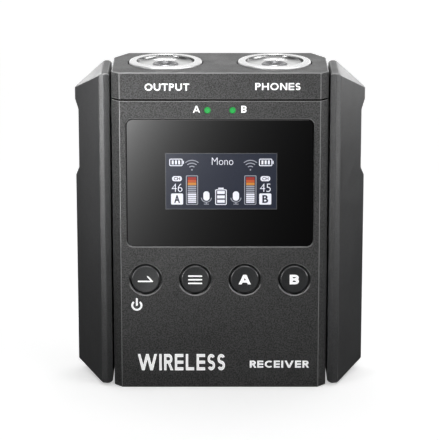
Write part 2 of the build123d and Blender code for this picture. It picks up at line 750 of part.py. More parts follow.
def main():
    os.makedirs("parts", exist_ok=True)
    write("front_shell", front_shell())
    write("rear_shell", rear_shell())
    write("top_cap", top_cap())
    write("display_window", display_window())
    write("window_adhesive", window_adhesive())
    write("display_module", display_module())
    write("display_frame", display_frame())
    write("display_flex", display_flex())
    for name, (x, z) in zip(KEY_NAMES, key_places()):
        write(name, key_cap(x, z))
    write("keypad_retainer", keypad_retainer())
    write("dome_contacts", dome_contacts())
    write("light_pipe_a", light_pipe(-1))
    write("light_pipe_b", light_pipe(1))
    write("status_leds", status_leds())
    write("main_board", main_board())
    write("board_screws", board_screws())
    write("rf_shields", rf_shields())
    write("board_chips", board_chips())
    write("battery_connector", battery_connector())
    write("usb_port", usb_port())
    write("battery_tray", battery_tray())
    write("battery_cell", battery_cell())
    write("battery_pad", battery_pad())
    write("case_screws", case_screws())
    write("clip_nut_plate", clip_nut_plate())
    write("belt_clip", belt_clip())
    write("clip_screws", clip_screws())
    for side, name in JACK_NAMES.items():
        write(f"{name}_ring", jack_ring(side))
        write(f"{name}_bush", jack_nose(side))
        write(f"{name}_socket", jack_socket(side))
        write(f"{name}_contact", jack_contact(side))
    for side, name in SIDES.items():
        write(f"{name}_antenna_shell", antenna_shell(side))
        write(f"{name}_antenna_cover", antenna_cover(side))
        write(f"{name}_antenna_element", antenna_element(side))
        write(f"{name}_hinge_shaft", hinge_shaft(side))
        write(f"{name}_hinge_clip", hinge_clip(side))
        write(f"{name}_friction_washer", friction_washer(side))
        write(f"{name}_feed_spring", feed_spring(side))


main()
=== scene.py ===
import json
import math

import bpy
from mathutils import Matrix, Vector
from mathutils.geometry import delaunay_2d_cdt


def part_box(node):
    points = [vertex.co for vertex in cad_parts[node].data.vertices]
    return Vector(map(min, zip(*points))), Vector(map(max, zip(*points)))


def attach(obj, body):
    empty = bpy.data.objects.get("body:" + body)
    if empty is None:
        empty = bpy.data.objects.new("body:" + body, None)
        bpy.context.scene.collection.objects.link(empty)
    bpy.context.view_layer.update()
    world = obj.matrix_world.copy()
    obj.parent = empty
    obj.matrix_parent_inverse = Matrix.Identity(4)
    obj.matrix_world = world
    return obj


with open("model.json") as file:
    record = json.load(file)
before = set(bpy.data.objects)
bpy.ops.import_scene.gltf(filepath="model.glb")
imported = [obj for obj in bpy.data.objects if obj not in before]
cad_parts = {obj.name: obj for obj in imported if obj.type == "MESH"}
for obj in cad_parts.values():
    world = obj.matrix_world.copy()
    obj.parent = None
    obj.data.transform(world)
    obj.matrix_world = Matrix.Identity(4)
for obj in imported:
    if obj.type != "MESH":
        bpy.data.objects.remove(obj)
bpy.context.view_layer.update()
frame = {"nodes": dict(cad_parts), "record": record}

MM = 0.001
CENTIMETRE = 0.01

# ---------------------------------------------------------------- places, read from the frame

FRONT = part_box("front_shell")[0].y
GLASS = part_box("display_window")[0].y

# Ink is this thick, and stands this far proud of the face that it is printed on
PRINT_T = 0.02 * MM
KEY_PRINT_T = 0.03 * MM
SKIN = 0.012 * MM


def middle(node):
    low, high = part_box(node)
    return (low + high) / 2


# ---------------------------------------------------------------- node materials


class Shader:
    """A principled material with short calls for the nodes that shape it."""

    def __init__(self, name, color, roughness, metallic=0.0, **sockets):
        self.material = bpy.data.materials.new(name)
        self.material.use_nodes = True
        self.tree = self.material.node_tree
        self.surface = self.tree.nodes["Principled BSDF"]
        self.surface.inputs["Base Color"].default_value = (*color, 1)
        self.surface.inputs["Roughness"].default_value = roughness
        self.surface.inputs["Metallic"].default_value = metallic
        for socket, value in sockets.items():
            self.surface.inputs[socket.replace("_", " ")].default_value = value
        self.place = self.node("ShaderNodeTexCoord").outputs["Object"]

    def node(self, kind, **settings):
        made = self.tree.nodes.new(kind)
        for key, value in settings.items():
            setattr(made, key, value)
        return made

    def link(self, output, target):
        self.tree.links.new(output, target)

    def stretched(self, scale):
        """The object's own coordinates, scaled along each axis."""
        mapping = self.node("ShaderNodeMapping")
        mapping.inputs["Scale"].default_value = scale
        self.link(self.place, mapping.inputs["Vector"])
        return mapping.outputs["Vector"]

    def noise(self, scale, detail=2.0, stretch=(1, 1, 1)):
        texture = self.node("ShaderNodeTexNoise")
        texture.inputs["Scale"].default_value = scale
        texture.inputs["Detail"].default_value = detail
        self.link(self.stretched(stretch), texture.inputs["Vector"])
        return texture.outputs["Fac"]

    def cells(self, scale):
        texture = self.node("ShaderNodeTexVoronoi")
        texture.inputs["Scale"].default_value = scale
        self.link(self.place, texture.inputs["Vector"])
        return texture.outputs["Distance"]

    def ramp(self, value, *stops):
        made = self.node("ShaderNodeValToRGB")
        elements = made.color_ramp.elements
        while len(elements) < len(stops):
            elements.new(0.5)
        for element, (at, color) in zip(elements, stops):
            element.position = at
            element.color = (*color, 1) if isinstance(color, tuple) else (color, color, color, 1)
        self.link(value, made.inputs["Fac"])
        return made.outputs["Color"]

    def blend(self, factor, first, second, mode="MIX"):
        made = self.node("ShaderNodeMix", data_type="RGBA", blend_type=mode)
        for socket, value in ((0, factor), (6, first), (7, second)):
            if isinstance(value, bpy.types.NodeSocket):
                self.link(value, made.inputs[socket])
            elif socket == 0:
                made.inputs[socket].default_value = value
            else:
                made.inputs[socket].default_value = (*value, 1)
        return made.outputs[2]

    def edges(self, faces):
        """A mask over rounded edges: the surface there faces none of the given directions."""
        normal = self.node("ShaderNodeVectorMath", operation="ABSOLUTE")
        self.link(self.node("ShaderNodeTexCoord").outputs["Normal"], normal.inputs[0])
        closest = None
        for face in faces:
            facing = self.node("ShaderNodeVectorMath", operation="DOT_PRODUCT")
            facing.inputs[1].default_value = face
            self.link(normal.outputs["Vector"], facing.inputs[0])
            nearer = facing.outputs["Value"]
            if closest:
                widest = self.node("ShaderNodeMath", operation="MAXIMUM")
                self.link(closest, widest.inputs[0])
                self.link(nearer, widest.inputs[1])
                nearer = widest.outputs[0]
            closest = nearer
        return self.ramp(closest, (0.955, 1.0), (0.99, 0.0))

    def tint(self, output):
        self.link(output, self.surface.inputs["Base Color"])

    def polish(self, output):
        self.link(output, self.surface.inputs["Roughness"])

    def bump(self, height, strength, depth):
        made = self.node("ShaderNodeBump")
        made.inputs["Strength"].default_value = strength
        made.inputs["Distance"].default_value = depth
        self.link(height, made.inputs["Height"])
        previous = self.surface.inputs["Normal"]
        if previous.is_linked:
            self.link(previous.links[0].from_socket, made.inputs["Normal"])
        self.link(made.outputs["Normal"], previous)

    def glow(self, color, strength):
        self.surface.inputs["Emission Color"].default_value = (*color, 1)
        self.surface.inputs["Emission Strength"].default_value = strength


# The directions that flat faces look in, as sizes along X, Y and Z
SQUARE = [(1, 0, 0), (0, 1, 0), (0, 0, 1)]
CASE_FACES = [*SQUARE, (0.732, 0.682, 0), (0.865, 0.502, 0)]
WING_FACES = [
    *SQUARE,
    (0.914, 0.405, 0),
    (0.548, 0.837, 0),
    (0.342, 0.94, 0),
    (0.669, 0, 0.743),
    (0.23, 0, 0.97),
]


def scaled(color, factor):
    return tuple(channel * factor for channel in color)


def moulded(name, dark, light, grain, bump, rough, painted_edge_highlight=None, faces=SQUARE, **sockets):
    """Charcoal moulding: spark-eroded grain, slow tone changes and, if given, a lighter colour along rounded
    edges as a painted highlight.
    """
    shader = Shader(name, light, sum(rough) / 2, **sockets)
    speck = shader.noise(grain, 1.0)
    tone = shader.noise(55.0, 3.0)
    fine = shader.ramp(speck, (0.34, dark), (0.66, light))
    worn = shader.ramp(tone, (0.3, 0.88), (0.7, 1.0))
    color = shader.blend(1.0, fine, worn, "MULTIPLY")
    # A lighter colour on rounded edges: a painted highlight
    if painted_edge_highlight:
        color = shader.blend(shader.edges(faces), color, painted_edge_highlight)
    shader.tint(color)
    shader.polish(shader.ramp(shader.noise(170.0, 3.0), (0.3, rough[0]), (0.7, rough[1])))
    shader.bump(speck, bump, 0.05 * MM)
    return shader.material


def turned_metal(name, color, rough, rings):
    """Bright turned metal with fine lathe rings and a few handling marks."""
    shader = Shader(name, color, rough, 1.0)
    lathe = shader.noise(rings, 2.0, (0.02, 0.02, 1))
    marks = shader.noise(900.0, 2.0, (1, 0.15, 1))
    shader.polish(shader.ramp(marks, (0.35, rough * 0.7), (0.75, rough * 1.5)))
    shader.bump(lathe, 0.04, 0.01 * MM)
    return shader.material


def trim_ring_metal(name):
    """Polished rim round a satin dish, darkened just inside the rim as painted shade: tone and gloss follow
    the distance from the axis, in centimetres.
    """
    shader = Shader(name, (0.95, 0.95, 0.95), 0.2, 1.0)
    split = shader.node("ShaderNodeVectorMath", operation="ABSOLUTE")
    shader.link(shader.place, split.inputs[0])
    radial = shader.node("ShaderNodeMapping")
    radial.inputs["Location"].default_value = (-abs(middle("phones_jack_ring").x) / CENTIMETRE, 0, 0)
    radial.inputs["Scale"].default_value = (1 / CENTIMETRE, 1 / CENTIMETRE, 0)
    shader.link(split.outputs["Vector"], radial.inputs["Vector"])
    reach = shader.node("ShaderNodeVectorMath", operation="LENGTH")
    shader.link(radial.outputs["Vector"], reach.inputs[0])
    radius = reach.outputs["Value"]
    # Darker from 0.72 to 0.75 cm, just inside the rim: painted shade under the rim's inner wall
    dish_tones_and_rim_shade = ((0.4, 0.8), (0.52, 0.92), (0.66, 0.88), (0.72, 0.6), (0.748, 0.35))
    shader.tint(shader.ramp(radius, *dish_tones_and_rim_shade, (0.757, 0.95)))
    shader.polish(shader.ramp(radius, (0.7, 0.36), (0.76, 0.16), (0.88, 0.16), (0.93, 0.5)))
    shader.bump(shader.noise(26000.0, 2.0, (0.02, 0.02, 1)), 0.03, 0.01 * MM)
    return shader.material


def coated_metal(name, color, rough):
    """Powder coat: a fine orange peel."""
    shader = Shader(name, color, rough)
    peel = shader.cells(1500.0)
    shader.tint(shader.ramp(shader.noise(60.0), (0.3, scaled(color, 0.8)), (0.7, color)))
    shader.bump(peel, 0.25, 0.04 * MM)
    return shader.material


def glossy_plate(name, color, rough):
    """Smooth lacquer or glass with a trace of dust in its gloss."""
    shader = Shader(name, color, rough)
    dust = shader.noise(400.0, 4.0)
    shader.polish(shader.ramp(dust, (0.45, rough), (0.8, rough + 0.05)))
    return shader.material


def printed(name, color, strength):
    """Screen-printed ink: slightly uneven and matt, with a painted glow that keeps it white in shade."""
    shader = Shader(name, color, 0.55)
    ink = shader.noise(2500.0, 2.0)
    shader.tint(shader.ramp(ink, (0.3, scaled(color, 0.9)), (0.6, color)))
    # Painted light: the ink glows a little
    shader.glow(color, strength)
    return shader.material


def lit(name, color, strength):
    """A lit area of the display, behind the gloss of its glass."""
    shader = Shader(name, scaled(color, 0.3), 0.12)
    weave = shader.cells(5200.0)
    shader.tint(shader.ramp(weave, (0.0, scaled(color, 0.35)), (0.7, scaled(color, 0.25))))
    shader.glow(color, strength)
    return shader.material


def laminate(name, color, lines):
    """Solder mask over a faint pattern of copper runs."""
    shader = Shader(name, color, 0.35)
    tracks = shader.ramp(shader.cells(lines), (0.1, scaled(color, 1.6)), (0.3, color))
    shader.tint(tracks)
    return shader.material


LENS_GREEN = (0.01, 0.16, 0.03)

MATERIALS = {
    "case_plastic": moulded(
        "case_plastic",
        dark=(0.015, 0.015, 0.015),
        light=(0.08, 0.08, 0.08),
        grain=3400.0,
        bump=0.6,
        rough=(0.34, 0.46),
        # A lighter colour on the case's rounded edges: a painted highlight
        painted_edge_highlight=(0.2, 0.2, 0.2),
        faces=CASE_FACES,
    ),
    "antenna_plastic": moulded(
        "antenna_plastic",
        dark=(0.034, 0.034, 0.035),
        light=(0.056, 0.057, 0.058),
        grain=3400.0,
        bump=0.2,
        rough=(0.3, 0.38),
        # A lighter colour on the antennas' rounded edges: a painted highlight
        painted_edge_highlight=(0.24, 0.24, 0.24),
        faces=WING_FACES,
    ),
    "window_glass": glossy_plate("window_glass", (0.0003, 0.0003, 0.0004), 0.03),
    "key_plastic": moulded(
        "key_plastic",
        dark=(0.018, 0.019, 0.02),
        light=(0.028, 0.029, 0.03),
        grain=2600.0,
        bump=0.03,
        rough=(0.3, 0.36),
        Coat_Weight=0.5,
        Coat_Roughness=0.1,
    ),
    "ring_metal": trim_ring_metal("ring_metal"),
    "bush_metal": turned_metal("bush_metal", (0.26, 0.26, 0.27), 0.26, 30000.0),
    "shaft_steel": turned_metal("shaft_steel", (0.12, 0.12, 0.125), 0.4, 20000.0),
    "spring_metal": turned_metal("spring_metal", (0.83, 0.64, 0.3), 0.3, 20000.0),
    "socket_plastic": moulded(
        "socket_plastic", (0.02, 0.02, 0.02), (0.03, 0.03, 0.03), 2600.0, 0.1, (0.4, 0.5)
    ),
    "lens_green": glossy_plate("lens_green", LENS_GREEN, 0.22),
    "display_panel": glossy_plate("display_panel", (0.02, 0.025, 0.035), 0.1),
    "frame_plastic": moulded(
        "frame_plastic", (0.03, 0.03, 0.032), (0.045, 0.045, 0.047), 2600.0, 0.1, (0.4, 0.5)
    ),
    "flex_film": laminate("flex_film", (0.5, 0.22, 0.04), 900.0),
    "board_laminate": laminate("board_laminate", (0.02, 0.14, 0.07), 700.0),
    "chip_epoxy": moulded(
        "chip_epoxy", (0.018, 0.018, 0.02), (0.028, 0.028, 0.03), 4000.0, 0.1, (0.4, 0.55)
    ),
    "shield_steel": turned_metal("shield_steel", (0.7, 0.7, 0.71), 0.3, 20000.0),
    "screw_steel": turned_metal("screw_steel", (0.09, 0.09, 0.095), 0.35, 20000.0),
    "battery_wrap": glossy_plate("battery_wrap", (0.06, 0.15, 0.36), 0.3),
    "foam": moulded("foam", (0.04, 0.04, 0.04), (0.08, 0.08, 0.08), 1800.0, 0.6, (0.8, 0.95)),
    "adhesive": glossy_plate("adhesive", (0.04, 0.04, 0.04), 0.5),
    "clip_steel": coated_metal("clip_steel", (0.035, 0.035, 0.037), 0.42),
}

# White ink with a painted glow
WHITE_INK = printed("white_ink", (0.88, 0.88, 0.88), 0.42)


def dress_nodes():
    """Gives every CAD node the material of its slot."""
    for part in frame["record"]["subparts"]:
        mesh = frame["nodes"][part["node"]].data
        mesh.materials.clear()
        mesh.materials.append(MATERIALS[part["material_slot"]])


# ---------------------------------------------------------------- flat print and display shapes


def arc_points(centre, radius, start, end, count=24):
    """Points on an arc, angles in degrees, counter-clockwise from +X in the front view."""
    step = (end - start) / count
    angles = [math.radians(start + step * index) for index in range(count + 1)]
    return [(centre[0] + radius * math.cos(a), centre[1] + radius * math.sin(a)) for a in angles]


def circle_points(centre, radius, count=60):
    """Points evenly round a circle, with no point twice."""
    return arc_points(centre, radius, 0, 360 - 360 / count, count - 1)


def rounded_loop(x, z, radius):
    """The outline of a rounded rectangle between two x and two z values."""
    loop = []
    corners = ((x[1], z[1], 0), (x[0], z[1], 90), (x[0], z[0], 180), (x[1], z[0], 270))
    for corner_x, corner_z, start in corners:
        inward = (1 if start in (90, 180) else -1, 1 if start in (180, 270) else -1)
        centre = (corner_x + inward[0] * radius, corner_z + inward[1] * radius)
        loop += arc_points(centre, radius, start, start + 90, 6)
    return loop


# In millimetres: corners are rounded, so that shapes that meet share them, and tiny outlines are dropped
DIGITS = 4
MERGE = 0.0002
LEAST_AREA = 0.0001


class Artwork:
    """Flat shapes in the front view, in millimetres, that merge into one thin closed mesh."""

    def __init__(self, name, material, slot, front, thickness=PRINT_T, surface=None):
        self.name, self.material, self.slot = name, material, slot
        self.front, self.thickness = front, thickness
        self.surface = surface or (lambda x, z: 0.0)
        self.corners, self.outlines = [], []

    def polygon(self, points):
        """A filled outline, unless it is too thin to hold any ink."""
        area = sum(a[0] * b[1] - b[0] * a[1] for a, b in zip(points, points[1:] + points[:1])) / 2
        if abs(area) < LEAST_AREA:
            return
        start = len(self.corners)
        for x, z in points if area > 0 else reversed(points):
            self.corners.append(Vector((round(x, DIGITS), round(z, DIGITS))))
        self.outlines.append(list(range(start, len(self.corners))))

    def band(self, outer, inner):
        """A closed ring between two outlines with equally many points."""
        for i in range(len(outer)):
            self.polygon([outer[i - 1], outer[i], inner[i], inner[i - 1]])

    def bar(self, x, z, radius=0.0):
        """A rectangle, rounded if a radius is given, between two x and two z values."""
        square = [(x[0], z[0]), (x[1], z[0]), (x[1], z[1]), (x[0], z[1])]
        self.polygon(rounded_loop(x, z, radius) if radius else square)

    def frame(self, x, z, width, radius):
        """A rounded rectangle's border, inside its outline."""
        inner_x, inner_z = (x[0] + width, x[1] - width), (z[0] + width, z[1] - width)
        self.band(rounded_loop(x, z, radius), rounded_loop(inner_x, inner_z, max(radius - width, 0.02)))

    def disc(self, centre, radius):
        self.polygon(circle_points(centre, radius, 48))

    def arc(self, centre, radius, width, start, end):
        """A square-ended stroke along an arc, angles in degrees."""
        outer = arc_points(centre, radius + width / 2, start, end)
        self.polygon(outer + arc_points(centre, radius - width / 2, end, start))

    def line(self, first, second, width):
        """A straight stroke with round ends."""
        turn = math.degrees(math.atan2(second[1] - first[1], second[0] - first[0]))
        points = arc_points(second, width / 2, turn - 90, turn + 90, 10)
        self.polygon(points + arc_points(first, width / 2, turn + 90, turn + 270, 10))

    def words(self, text, centre, width, height, weight=0.0):
        """Lettering in the plain built-in face, fitted to a width and a height."""
        curve = bpy.data.curves.new("lettering", "FONT")
        curve.body = text
        curve.offset = weight
        curve.resolution_u = 6
        source = bpy.data.objects.new("lettering", curve)
        bpy.context.scene.collection.objects.link(source)
        graph = bpy.context.evaluated_depsgraph_get()
        mesh = bpy.data.meshes.new_from_object(source.evaluated_get(graph))
        xs = [v.co.x for v in mesh.vertices]
        ys = [v.co.y for v in mesh.vertices]
        scale_x, scale_y = width / (max(xs) - min(xs)), height / (max(ys) - min(ys))
        mid_x, mid_y = (max(xs) + min(xs)) / 2, (max(ys) + min(ys)) / 2
        placed = [
            (centre[0] + (v.co.x - mid_x) * scale_x, centre[1] + (v.co.y - mid_y) * scale_y)
            for v in mesh.vertices
        ]
        for face in mesh.polygons:
            self.polygon([placed[i] for i in face.vertices])
        bpy.data.objects.remove(source)

    def finish(self, body):
        """Merges the outlines, so that no face lies inside another, and gives them a thickness."""
        points, _, triangles, _, _, sources = delaunay_2d_cdt(self.corners, [], self.outlines, 0, MERGE)
        inked = [triangle for triangle, source in zip(triangles, sources) if source]
        used = sorted({index for triangle in inked for index in triangle})
        place = {index: 2 * i for i, index in enumerate(used)}
        vertices, faces = [], []
        for x, z in (points[index] for index in used):
            y = self.front + self.surface(x, z)
            vertices += [(x * MM, y, z * MM), (x * MM, y + self.thickness, z * MM)]
        for triangle in inked:
            front = [place[index] for index in triangle]
            faces += [front, [index + 1 for index in reversed(front)]]
        edges = {edge for triangle in inked for edge in zip(triangle, triangle[1:] + triangle[:1])}
        for a, b in sorted(edge for edge in edges if edge[::-1] not in edges):
            faces.append([place[a], place[a] + 1, place[b] + 1, place[b]])
        mesh = bpy.data.meshes.new(self.name)
        mesh.from_pydata(vertices, [], faces)
        mesh.materials.append(self.material)
        piece = bpy.data.objects.new(self.name, mesh)
        bpy.context.scene.collection.objects.link(piece)
        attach(piece, body)


# ---------------------------------------------------------------- plain stroke lettering

# In cap heights: the usual stroke and the gap between letters. A slant's level ends reach this share of
# its stroke to each side
STROKE = 0.215
LETTER_GAP = 0.16
SLANT_REACH = 0.56


def letter_shapes(weight):
    """Each letter in a box one cap height tall: its width, then its strokes.

    A line is square-ended, a slant is cut level at its ends, and an arc is (centre, radius, start, end).
    """
    half = weight / 2
    top, waist = 1 - half, 0.51
    stem = ("line", (half, 0), (half, 1))
    cup = 0.34
    cup_right = half + 2 * cup
    bowl = (1 - weight) / 4
    shoulder = half + 0.27
    belly = shoulder + 0.02
    p_bowl = [
        ("line", (half, top), (shoulder, top)),
        ("arc", (shoulder, top - bowl), bowl, -90, 90),
        ("line", (half, waist), (shoulder, waist)),
    ]
    b_bowl = [("arc", (belly, half + bowl), bowl, -90, 90), ("line", (half, half), (belly, half))]
    s_mid = half + bowl
    return {
        "O": (1.04, [("arc", (0.52, 0.5), 0.5 - half, 0, 360)]),
        "C": (0.86, [("arc", (0.5, 0.5), 0.5 - half, 48, 312)]),
        "U": (
            cup_right + half,
            [
                ("line", (half, half + cup), (half, 1)),
                ("arc", (half + cup, half + cup), cup, 180, 360),
                ("line", (cup_right, half + cup), (cup_right, 1)),
            ],
        ),
        "T": (0.8, [("line", (0, top), (0.8, top)), ("line", (0.4, 0), (0.4, top))]),
        "P": (shoulder + bowl + half, [stem, *p_bowl]),
        "R": (shoulder + bowl + half, [stem, *p_bowl, ("slant", (0.36, 0.5), (0.62, 0))]),
        "B": (belly + bowl + half, [stem, *p_bowl, *b_bowl]),
        "H": (
            0.84,
            [
                stem,
                ("line", (0.84 - half, 0), (0.84 - half, 1)),
                ("line", (half, 0.5), (0.84 - half, 0.5)),
            ],
        ),
        "N": (
            0.86,
            [
                stem,
                ("line", (0.86 - half, 0), (0.86 - half, 1)),
                ("slant", (half, 1), (0.86 - half, 0)),
            ],
        ),
        "E": (0.68, [stem, *(("line", (half, z), (0.68, z)) for z in (half, 0.5, top))]),
        "L": (0.66, [stem, ("line", (half, half), (0.66, half))]),
        "I": (weight, [stem]),
        "S": (
            2 * s_mid,
            [
                ("arc", (s_mid, top - bowl), bowl, 25, 270),
                ("arc", (s_mid, half + bowl), bowl, -155, 90),
            ],
        ),
        "A": (
            1.02,
            [
                ("slant", (half, 0), (0.51, 1)),
                ("slant", (0.51, 1), (1.02 - half, 0)),
                ("line", (0.26, 0.3), (0.76, 0.3)),
            ],
        ),
        "V": (1.0, [("slant", (half, 1), (0.5, 0)), ("slant", (0.5, 0), (1.0 - half, 1))]),
        "W": (
            1.5,
            [
                ("slant", (half, 1), (0.42, 0)),
                ("slant", (0.42, 0), (0.75, 1)),
                ("slant", (0.75, 1), (1.08, 0)),
                ("slant", (1.08, 0), (1.5 - half, 1)),
            ],
        ),
    }


def stroke_outline(kind, first, second, weight):
    """The outline of a line or a slant from its first to its second point."""
    if kind == "slant":
        reach = weight * SLANT_REACH
        ends = ((first, -reach), (first, reach), (second, reach), (second, -reach))
        return [(x + step, z) for (x, z), step in ends]
    first, second = Vector(first), Vector(second)
    run = second - first
    side = Vector((-run.y, run.x)).normalized() * weight / 2
    return [tuple(corner) for corner in (first - side, second - side, second + side, first + side)]


def lettering(art, text, centre, width, height, weight=STROKE, gap=LETTER_GAP):
    """Draws a word in the stroke alphabet, fitted to a width and a cap height."""
    shapes = letter_shapes(weight)
    total = sum(shapes[letter][0] for letter in text) + gap * (len(text) - 1)
    scale_x, scale_z = width / total, height
    base_z = centre[1] - height / 2

    def placed(points, left):
        return [(left + x * scale_x, base_z + z * scale_z) for x, z in points]

    left = centre[0] - width / 2
    for letter in text:
        advance, strokes = shapes[letter]
        for kind, first, second, *angles in strokes:
            if kind != "arc":
                art.polygon(placed(stroke_outline(kind, first, second, weight), left))
                continue
            outer_r, inner_r = second + weight / 2, second - weight / 2
            if angles == [0, 360]:
                outer, inner = circle_points(first, outer_r), circle_points(first, inner_r)
                art.band(placed(outer, left), placed(inner, left))
            else:
                outline = arc_points(first, outer_r, *angles) + arc_points(first, inner_r, *reversed(angles))
                art.polygon(placed(outline, left))
        left += (advance + gap) * scale_x


# ---------------------------------------------------------------- printing on the case and keys

# In millimetres: each socket word's middle, width and cap height
SOCKET_LABELS = {"OUTPUT": ((-13.5, 80.5), 11.4, 1.85), "PHONES": ((14.7, 80.65), 11.5, 1.85)}
SOCKET_LABEL_WEIGHT = 0.175

# How far the channel letters stand over the middle of the lights; then their x, width, cap height, weight
LIGHT_LABEL_RISE = 0.3
LIGHT_LABELS = {"A": (-6.0, 1.8, 1.8, 0.17), "B": (6.1, 1.35, 1.8, 0.19)}
POWER_SYMBOL = (-21.65, 22.5)

# In millimetres: a key's symbol lines, its letters' cap height, the rim round its dish and the dish's depth
KEY_LINE = 0.38
MENU_LINE = 0.4
MENU_PITCH = 0.98
KEY_CAP = 2.6
KEY_RIM = 1.2
KEY_DISH = 0.1


def case_print():
    """The words and the power symbol on the front, in white ink."""
    art = Artwork("case_print", WHITE_INK, "case_plastic", FRONT - SKIN)
    for text, (place, width, cap) in SOCKET_LABELS.items():
        lettering(art, text, place, width, cap, SOCKET_LABEL_WEIGHT)
    light_z = middle("light_pipe_a").z / MM + LIGHT_LABEL_RISE
    for text, (x, width, cap, weight) in LIGHT_LABELS.items():
        lettering(art, text, (x, light_z), width, cap, weight)
    lettering(art, "WIRELESS", (-10.1, 6.95), 22.8, 4.5, weight=0.19, gap=0.19)
    lettering(art, "RECEIVER", (15.5, 6.4), 15.4, 1.95)
    power_symbol(art, POWER_SYMBOL)
    art.finish("case")


def power_symbol(art, centre):
    """A broken circle with a stroke in its gap."""
    radius, width = 1.2, 0.5
    art.arc(centre, radius, width, 130, 410)
    art.line((centre[0], centre[1] + 0.1), (centre[0], centre[1] + 1.75), width)


def key_art(node, name):
    """An ink layer that follows a key's dished face."""
    low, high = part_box(node)
    radius = (high.x - low.x) / 2 - KEY_RIM * MM
    hub = middle(node)

    def surface(x, z):
        reach = math.hypot(x * MM - hub.x, z * MM - hub.z) / radius
        return KEY_DISH * MM * (1 - reach**2)

    art = Artwork(name, WHITE_INK, "key_plastic", low.y - SKIN, KEY_PRINT_T, surface)
    return art, (hub.x / MM, hub.z / MM)


def key_prints():
    """An arrow-like stroke, three lines and the two channel letters, one on each key."""
    art, (x, z) = key_art("power_button", "power_key_print")
    art.line((x - 1.9, z - 0.5), (x + 1.75, z - 0.5), KEY_LINE)
    art.line((x + 1.7, z - 0.5), (x + 0.55, z + 0.75), KEY_LINE)
    art.finish("power_key")
    art, (x, z) = key_art("menu_button", "menu_key_print")
    for row in (-1, 0, 1):
        level = z - 0.05 + row * MENU_PITCH
        art.line((x - 1.68, level), (x + 1.62, level), MENU_LINE)
    art.finish("menu_key")
    for letter, width in (("a", 3.1), ("b", 2.4)):
        art, centre = key_art(f"channel_{letter}_button", f"channel_{letter}_key_print")
        lettering(art, letter.upper(), centre, width, KEY_CAP, 0.23)
        art.finish(f"channel_{letter}_key")


# ---------------------------------------------------------------- the lit display

# The lit area in millimetres, and the thickness of each layer of it
SCREEN_X = (-14.05, 14.65)
SCREEN_Z = (48.35, 63.25)
SCREEN_MID = sum(SCREEN_X) / 2
SCREEN_LOW = SCREEN_Z[0]
LAYER = 0.008 * MM

# Distances of the graphics from the display's middle line, and the width of their fine outlines
LABELS_OUT = 11.35
SMALL_BATTERY_OUT = 11.5
METER_OUT = 7.5
MICROPHONE_OUT = 3.8
OUTLINE = 0.22

# The level meters over the display's lower edge: three warm cells at the top, and plain cells below
METER_Z = (1.25, 9.0)
WARM_PITCH = 0.73
WARM_GAP = 0.05
WARM_TOP = 0.45
CELL_PITCH = 0.52
CELL_SHARE = 0.68
PLAIN_CELLS = 9
WHITE_CELLS = 5


def screen_layer(name, material, layer):
    return Artwork(name, material, "display_panel", GLASS - LAYER * layer, LAYER)


def screen_layers():
    """The panel and its graphics, one piece for each colour: letters and meters for two channels."""
    panel = screen_layer("screen_panel", lit("screen_dark", (0.055, 0.065, 0.105), 0.1), 1)
    panel.bar(SCREEN_X, SCREEN_Z)
    edge = screen_layer("screen_edge", lit("screen_edge", (0.2, 0.21, 0.23), 0.1), 2)
    edge.frame(SCREEN_X, SCREEN_Z, 0.18, 0.1)
    white = screen_layer("screen_white", lit("screen_white", (0.85, 0.86, 0.95), 0.75), 2)
    grey = screen_layer("screen_grey", lit("screen_grey", (0.52, 0.54, 0.62), 0.36), 2)
    dark = screen_layer("screen_dark_print", lit("screen_black", (0.03, 0.035, 0.06), 0.3), 3)
    red = screen_layer("screen_red", lit("screen_red", (0.42, 0.045, 0.035), 0.55), 2)
    amber = screen_layer("screen_amber", lit("screen_amber", (0.72, 0.3, 0.06), 0.55), 2)
    scarlet = screen_layer("screen_scarlet", lit("screen_scarlet", (0.62, 0.12, 0.04), 0.55), 2)
    white.words("Mono", (SCREEN_MID + 0.35, SCREEN_LOW + 12.75), 5.5, 1.95, -0.012)
    cell_battery(white)
    for side, number, letter in ((-1, "46", "A"), (1, "45", "B")):
        channel_block(side, number, letter, white, dark)
        level_meter(side, white, grey, (red, scarlet, amber))
        small_battery(side, white)
        signal_arcs(side, grey)
        microphone(side, white, grey)
    for layer in (panel, edge, white, grey, dark, red, scarlet, amber):
        layer.finish("case")


def from_middle(side, offset):
    """The x that lies an offset to the left (-1) or the right (1) of the display's middle line."""
    return SCREEN_MID + side * offset


def span(centre, width):
    return (centre - width / 2, centre + width / 2)


def channel_block(side, number, letter, white, dark):
    """A channel pill over a number, over a letter in a box."""
    x = from_middle(side, LABELS_OUT)
    pill_z, number_z, box_z = SCREEN_LOW + 8.15, SCREEN_LOW + 5.75, SCREEN_LOW + 2.75
    white.bar(span(x, 2.5), span(pill_z, 1.35), 0.6)
    dark.words("CH", (x, pill_z), 1.6, 0.85, 0.02)
    white.words(number, (x, number_z), 2.75, 2.2, -0.014)
    white.bar(span(x, 3.1), span(box_z, 2.95), 0.3)
    dark.words(letter, (x, box_z), 1.5, 2.1, 0.03)


def level_meter(side, white, grey, warm):
    """A framed column of cells: warm colours at the top, then grey, then white."""
    x = from_middle(side, METER_OUT)
    low, high = (SCREEN_LOW + z for z in METER_Z)
    grey.frame(span(x, 3.1), (low, high), 0.2, 0.25)
    wide = span(x, 2.15)
    for row, layer in enumerate(warm):
        top = high - WARM_TOP - row * WARM_PITCH
        layer.bar(wide, (top - WARM_PITCH + WARM_GAP, top))
    for row in range(PLAIN_CELLS):
        bottom = low + 0.5 + row * CELL_PITCH
        layer = white if row < WHITE_CELLS else grey
        layer.bar(wide, (bottom, bottom + CELL_PITCH * CELL_SHARE))


